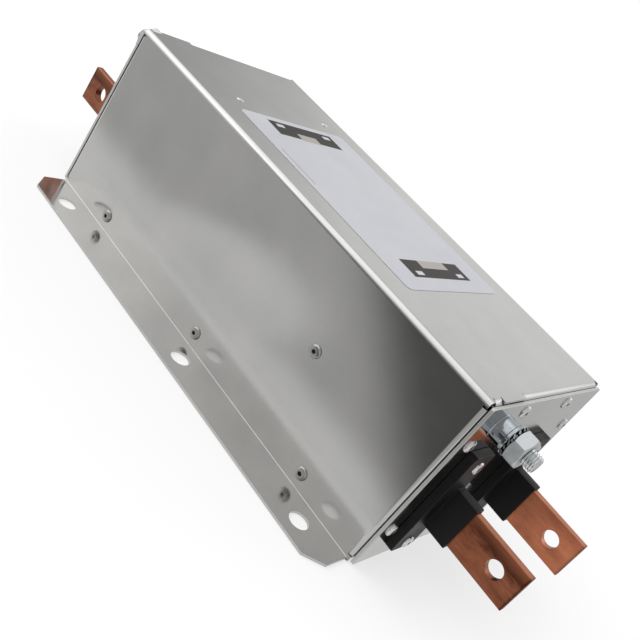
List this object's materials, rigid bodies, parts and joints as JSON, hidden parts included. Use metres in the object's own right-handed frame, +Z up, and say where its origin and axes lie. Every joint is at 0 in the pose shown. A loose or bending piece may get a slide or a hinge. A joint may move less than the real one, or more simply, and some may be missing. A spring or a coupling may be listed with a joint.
{
  "type": "power line filter",
  "caption": "Sheet metal power line filter with flanged case, copper through bars in black insulators and earth studs, for a drive's supply link.",
  "frame": {"origin": "middle of the footprint, on the underside of the mounting flanges", "axes": "+X along the bars towards the load end, +Z up through the rated face, +Y away from the earth studs"},
  "size_m": [0.437, 0.199, 0.1168],
  "materials": {
    "case_sheet": "satin zinc-plated sheet steel",
    "tray_sheet": "satin zinc-plated sheet steel",
    "end_sheet": "satin zinc-plated sheet steel, brighter than the cover",
    "inner_sheet": "satin zinc-plated sheet steel",
    "bar_copper": "bare drawn copper, lightly stained",
    "strap_copper": "bare copper strip",
    "insulator_plastic": "black glass-filled moulding",
    "rivet_metal": "satin blind rivets",
    "stud_metal": "nickel-plated steel",
    "washer_metal": "nickel-plated spring steel",
    "label_film": "pale silver printed film",
    "core_ferrite": "sintered ferrite",
    "cradle_plastic": "natural moulded plastic",
    "spacer_board": "laminated insulating board",
    "capacitor_case": "moulded film capacitor case",
    "resistor_body": "coated wirewound resistor"
  },
  "bodies": {
    "root": {"cover": "case_sheet", "base_tray": "tray_sheet", "side_rivets": "rivet_metal", "end_rivets": "rivet_metal", "roof_rivets": "rivet_metal", "insulator_rivets": "rivet_metal", "earth_studs": "stud_metal", "earth_bosses": "stud_metal", "earth_washers": "washer_metal", "earth_nuts": "stud_metal", "rating_label": "label_film", "busbar_a": "bar_copper", "busbar_b": "bar_copper", "core_cradle": "cradle_plastic", "busbar_spacer": "spacer_board", "capacitor_shelf": "inner_sheet", "discharge_resistor": "resistor_body", "capacitor_bracket": "inner_sheet", "earth_capacitor_a": "capacitor_case", "earth_capacitor_b": "capacitor_case", "strap_a": "strap_copper", "strap_b": "strap_copper", "choke_core_1": "core_ferrite", "choke_core_2": "core_ferrite", "line_capacitor_1": "capacitor_case", "line_capacitor_2": "capacitor_case", "end_plate_line": "end_sheet", "insulator_a_line": "insulator_plastic", "insulator_b_line": "insulator_plastic", "end_plate_load": "end_sheet", "insulator_a_load": "insulator_plastic", "insulator_b_load": "insulator_plastic"}
  },
  "joints": []
}
